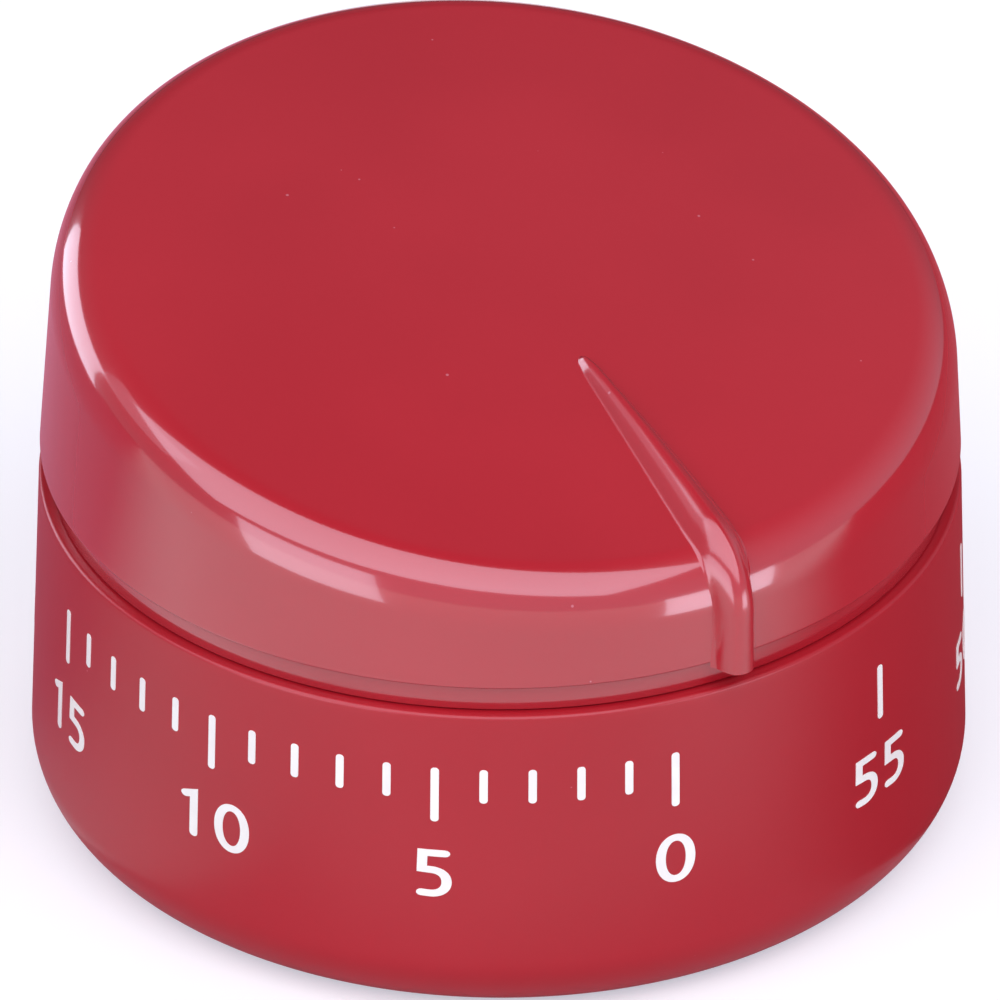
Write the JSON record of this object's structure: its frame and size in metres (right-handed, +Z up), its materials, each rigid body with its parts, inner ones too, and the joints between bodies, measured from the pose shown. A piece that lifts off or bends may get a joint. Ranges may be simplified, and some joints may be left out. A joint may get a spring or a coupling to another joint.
{
  "type": "kitchen timer",
  "caption": "Round wind-up minute timer: a slanted cap with a pointer ridge turns on a base with a minute scale, over a clockwork with a bell.",
  "frame": {"origin": "on the table under the centre of the base", "axes": "+Z up along the axis the cap turns on, -Y towards the front of the picture"},
  "size_m": [0.066, 0.066, 0.0464],
  "materials": {
    "red_plastic": "gloss",
    "foot_rubber": "matte",
    "steel": "satin",
    "blued_steel": "satin",
    "brass": "satin",
    "scale_print": "satin print"
  },
  "bodies": {
    "case": {"base_shell": "red_plastic", "bottom_cover": "red_plastic", "cover_screws": "steel", "foot_ring": "foot_rubber", "gong": "steel", "gong_screw": "steel", "top_plate": "brass", "bottom_plate": "brass", "pillars": "brass", "pillar_screws": "steel", "movement_screws": "steel", "upper_bushes": "brass", "lower_bushes": "brass", "spring_post": "steel", "mainspring": "blued_steel", "detent_stud": "steel", "detent_spring": "blued_steel"},
    "dial": {"dial_cap": "red_plastic", "hub_ring": "steel", "main_arbor": "steel", "ratchet_wheel": "steel", "cam_disc": "steel", "arbor_washer": "brass"},
    "main_drive": {"main_wheel": "brass", "click_stud": "steel", "click_spring": "blued_steel"},
    "click": {"click": "steel"},
    "second": {"second_arbor": "steel", "second_wheel": "brass", "star_wheel": "brass"},
    "third": {"third_arbor": "steel", "third_wheel": "brass"},
    "escape": {"escape_arbor": "steel", "escape_wheel": "brass"},
    "balance": {"pallet_staff": "steel", "pallet_lever": "steel", "balance_wheel": "brass"},
    "hammer": {"hammer_staff": "steel", "hammer_lever": "steel", "hammer_rod": "steel", "hammer_head": "brass", "catch_arm": "steel"},
    "detent": {"detent_lever": "steel"}
  },
  "joints": [
    {"name": "cap_turn", "type": "hinge", "parent": "case", "child": "dial", "pos_m": [0, 0, 0.03], "axis": [0, 0, -1], "range_deg": [0, 345], "deforming": ["mainspring"]},
    {"name": "main_wheel_turn", "type": "hinge", "parent": "case", "child": "main_drive", "pos_m": [0, 0, 0.0212], "axis": [0, 0, -1], "range_deg": [0, 345]},
    {"name": "second_spin", "type": "hinge", "parent": "case", "child": "second", "pos_m": [0.01438, -0.00523, 0.0212], "axis": [0, 0, -1], "continuous": true},
    {"name": "third_spin", "type": "hinge", "parent": "case", "child": "third", "pos_m": [0.01624, 0.00504, 0.0244], "axis": [0, 0, -1], "continuous": true},
    {"name": "escape_spin", "type": "hinge", "parent": "case", "child": "escape", "pos_m": [0.01273, 0.01329, 0.0176], "axis": [0, 0, -1], "continuous": true},
    {"name": "balance_swing", "type": "hinge", "parent": "case", "child": "balance", "pos_m": [0.00701, 0.01766, 0.0188], "axis": [0, 0, 1], "range_deg": [-3, 3]},
    {"name": "hammer_swing", "type": "hinge", "parent": "case", "child": "hammer", "pos_m": [0.00845, -0.01589, 0.0175], "axis": [0, 0, 1], "range_deg": [-3, 6]},
    {"name": "detent_drop", "type": "hinge", "parent": "case", "child": "detent", "pos_m": [-0.01299, -0.0075, 0.0261], "axis": [0, 0, 1], "range_deg": [-8, 0], "deforming": ["detent_spring"]},
    {"name": "click_lift", "type": "hinge", "parent": "main_drive", "child": "click", "pos_m": [-0.00918, 0.0053, 0.0225], "axis": [0, 0, 1], "range_deg": [0, 10], "stiffness_Nm_per_rad": 0.002, "deforming": ["click_spring"]}
  ],
  "couplings": [
    {"joint": "main_wheel_turn", "follows": "cap_turn", "ratio": 1},
    {"joint": "second_spin", "follows": "cap_turn", "ratio": -7.5},
    {"joint": "third_spin", "follows": "cap_turn", "ratio": 46.875},
    {"joint": "escape_spin", "follows": "cap_turn", "ratio": -281.25}
  ]
}
